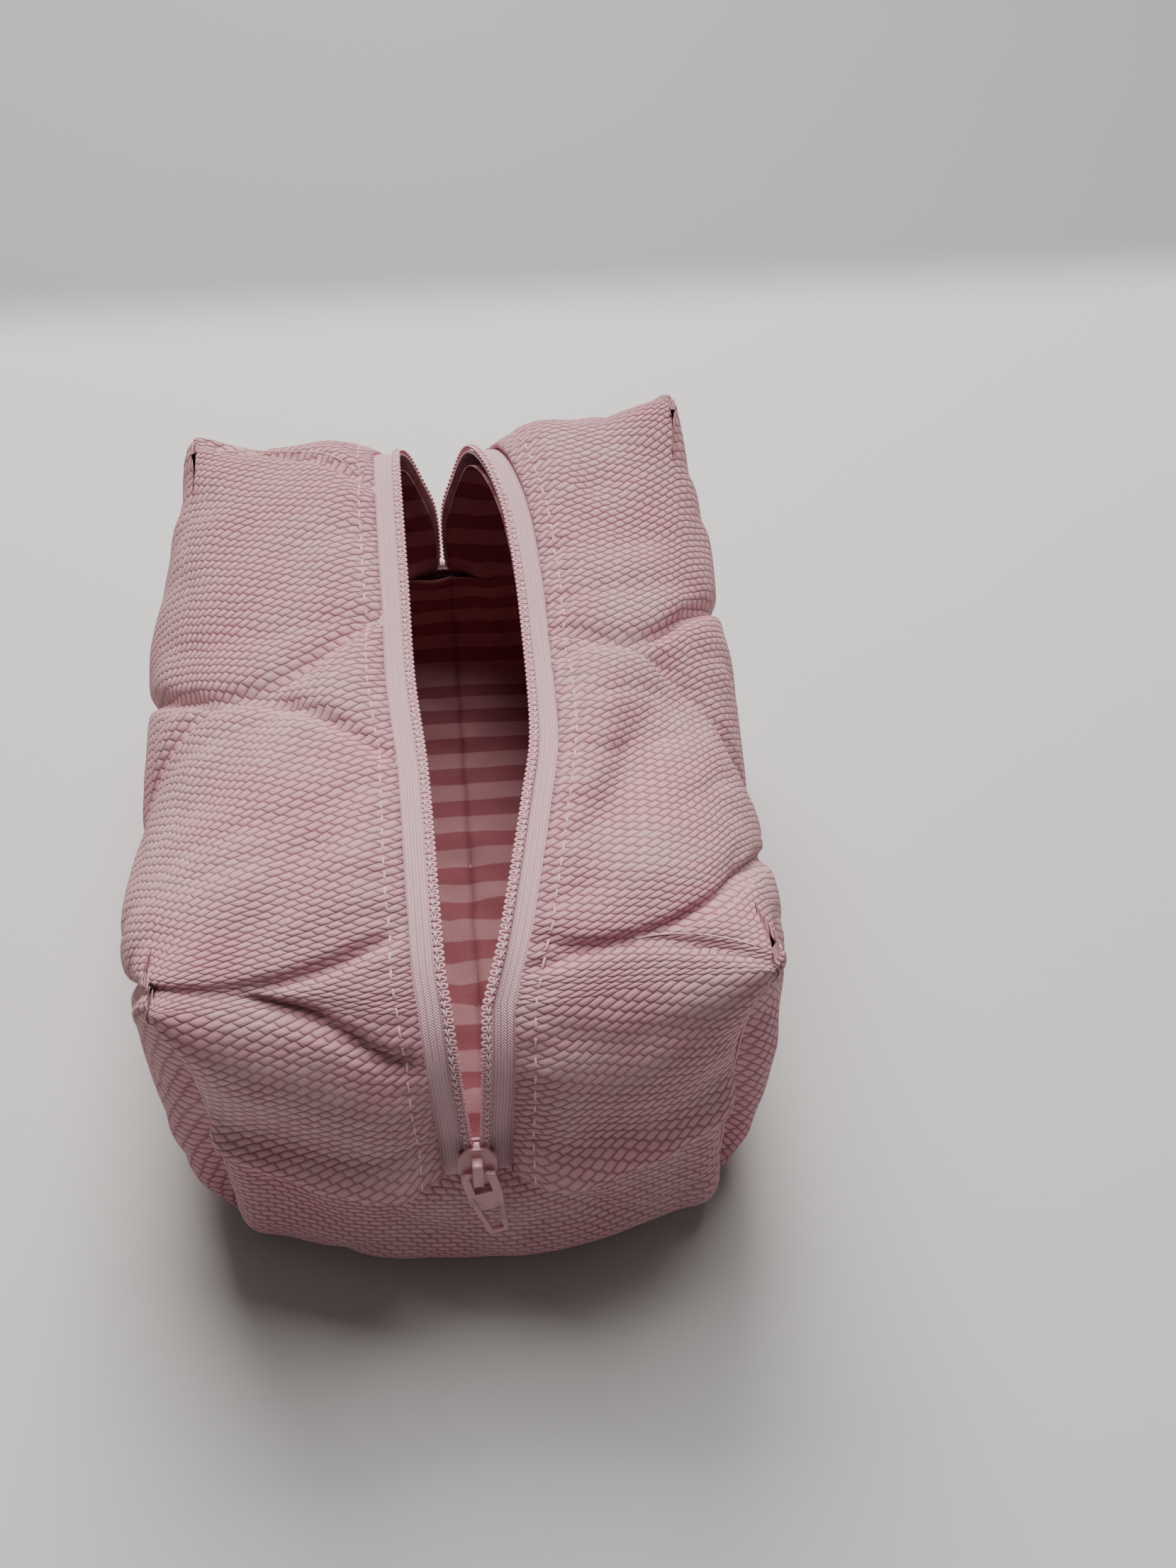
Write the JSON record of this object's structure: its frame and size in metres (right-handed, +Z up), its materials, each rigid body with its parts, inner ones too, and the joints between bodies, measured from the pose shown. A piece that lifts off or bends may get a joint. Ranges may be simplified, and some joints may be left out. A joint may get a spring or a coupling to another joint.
{
  "type": "makeup bag",
  "caption": "Soft boxed pouch of quilted cloth with a striped lining and a coil zip running lengthwise over the top, standing open with its slider and pull tab at one end.",
  "frame": {"origin": "bottom centre of the whole part's box, on the table", "axes": "+Z up, +Y lengthwise from the slider end to the far end, +X to the right of someone facing the slider end"},
  "size_m": [0.1636, 0.2148, 0.1028],
  "materials": {
    "quilted_cloth": "brushed basketweave cotton",
    "wadding": "polyester fleece",
    "lining_cloth": "printed stripe, plain weave",
    "zip_tape": "woven polyester, satin",
    "zip_coil": "nylon monofilament",
    "thread": "spun polyester thread",
    "painted_slider": "satin enamel on zinc casting",
    "lock_spring": "spring steel strip"
  },
  "bodies": {
    "bag": {"coil_stitching_left": "thread", "coil_stitching_right": "thread", "corner_seam_threads": "thread", "far_end_seam_thread": "thread", "lining_floor_seam": "thread", "lining_left": "lining_cloth", "lining_right": "lining_cloth", "near_end_seam_thread": "thread", "outer_cloth": "quilted_cloth", "quilting_thread": "thread", "topstitch_left": "thread", "topstitch_right": "thread", "wadding": "wadding", "zip_coil_left": "zip_coil", "zip_coil_right": "zip_coil", "zip_tape_left": "zip_tape", "zip_tape_right": "zip_tape"},
    "slider": {"slider_body": "painted_slider", "slider_crown": "painted_slider"},
    "lock": {"lock_pin": "lock_spring"},
    "tab": {"pull_tab": "painted_slider"}
  },
  "joints": [
    {"name": "slider_travel", "type": "hinge", "parent": "bag", "child": "slider", "pos_m": [0, 0.00243, 0.01601], "axis": [-1, 0, 0], "range_deg": [0, 140], "deforming": ["coil_stitching_left", "coil_stitching_right", "zip_coil_left", "zip_coil_right", "zip_tape_left", "zip_tape_right"]},
    {"name": "tab_swing", "type": "hinge", "parent": "slider", "child": "tab", "pos_m": [0, -0.10183, 0.05236], "axis": [-1, 0, 0], "range_deg": [0, 180]},
    {"name": "lock_pin_lift", "type": "slide", "parent": "slider", "child": "lock", "axis": [0, -0.9397, 0.342], "range_m": [0, 0.0005]}
  ],
  "couplings": [
    {"joint": "lock_pin_lift", "follows": "tab_swing", "m_per_rad": 0.00015597}
  ]
}
